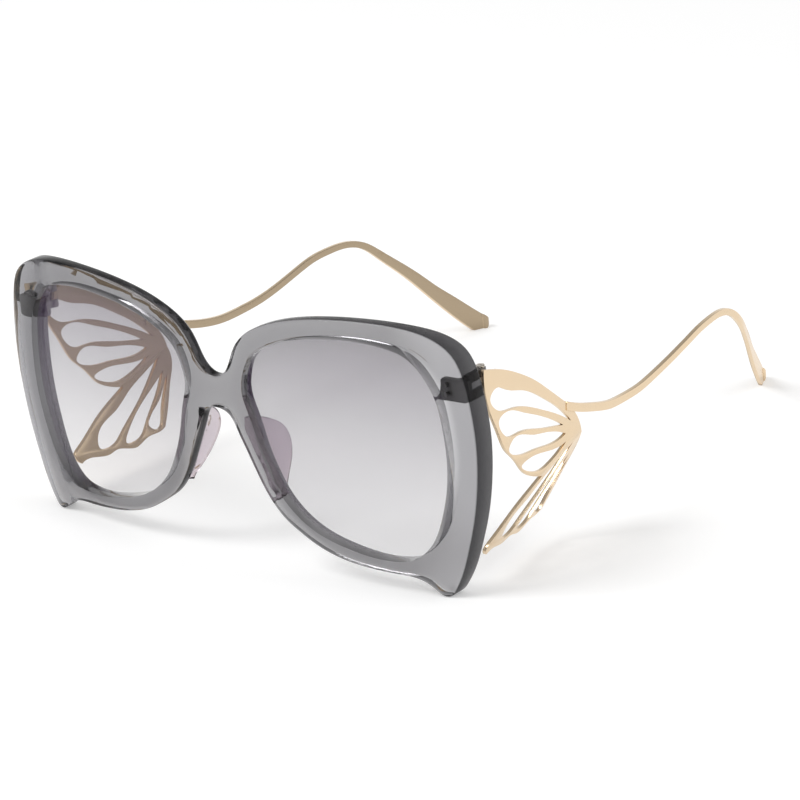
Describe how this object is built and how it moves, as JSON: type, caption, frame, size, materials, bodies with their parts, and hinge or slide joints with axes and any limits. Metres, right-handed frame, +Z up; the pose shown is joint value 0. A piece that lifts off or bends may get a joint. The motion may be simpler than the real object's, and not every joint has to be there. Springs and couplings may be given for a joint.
{
  "type": "butterfly sunglasses",
  "caption": "Oversized butterfly sunglasses: clear grey moulded front with gradient lenses, gold pierced butterfly-wing temples and wavy wire arms that fold at screw hinges.",
  "frame": {"origin": "Middle of the bounding box at floor level, where the open glasses stand on the two lower points of the front and the two arm ends.", "axes": "X to the wearer's left, mirror symmetric about X = 0; Y back along the temples, the longest extent; Z up, the shortest extent."},
  "size_m": [0.146, 0.1548, 0.0669],
  "materials": {
    "frame_plastic": "clear smoke-grey moulded plastic, polished",
    "lens_tint": "gradient tint, mauve-grey at the top and nearly clear at the bottom",
    "pad_plastic": "clear polished plastic",
    "gold_metal": "pale gold plating, satin to polished",
    "hinge_metal": "dark nickel plating, polished",
    "screw_metal": "turned steel"
  },
  "bodies": {
    "front": {"front_frame": "frame_plastic", "lens_left": "lens_tint", "lens_right": "lens_tint", "nose_pad_left": "pad_plastic", "nose_pad_right": "pad_plastic", "hinge_plate_left": "hinge_metal", "hinge_plate_right": "hinge_metal", "plate_pins_left": "hinge_metal", "plate_pins_right": "hinge_metal", "hinge_screw_left": "screw_metal", "hinge_screw_right": "screw_metal"},
    "temple_left": {"temple_wing_left": "gold_metal", "temple_arm_left": "gold_metal", "temple_hinge_left": "gold_metal"},
    "temple_right": {"temple_wing_right": "gold_metal", "temple_arm_right": "gold_metal", "temple_hinge_right": "gold_metal"}
  },
  "joints": [
    {"name": "temple_fold_left", "type": "hinge", "parent": "front", "child": "temple_left", "pos_m": [0.0682, -0.05917, 0.0514], "axis": [0, 0, 1], "range_deg": [0, 68]},
    {"name": "temple_fold_right", "type": "hinge", "parent": "front", "child": "temple_right", "pos_m": [-0.0682, -0.05917, 0.0514], "axis": [0, 0, -1], "range_deg": [0, 60]}
  ]
}
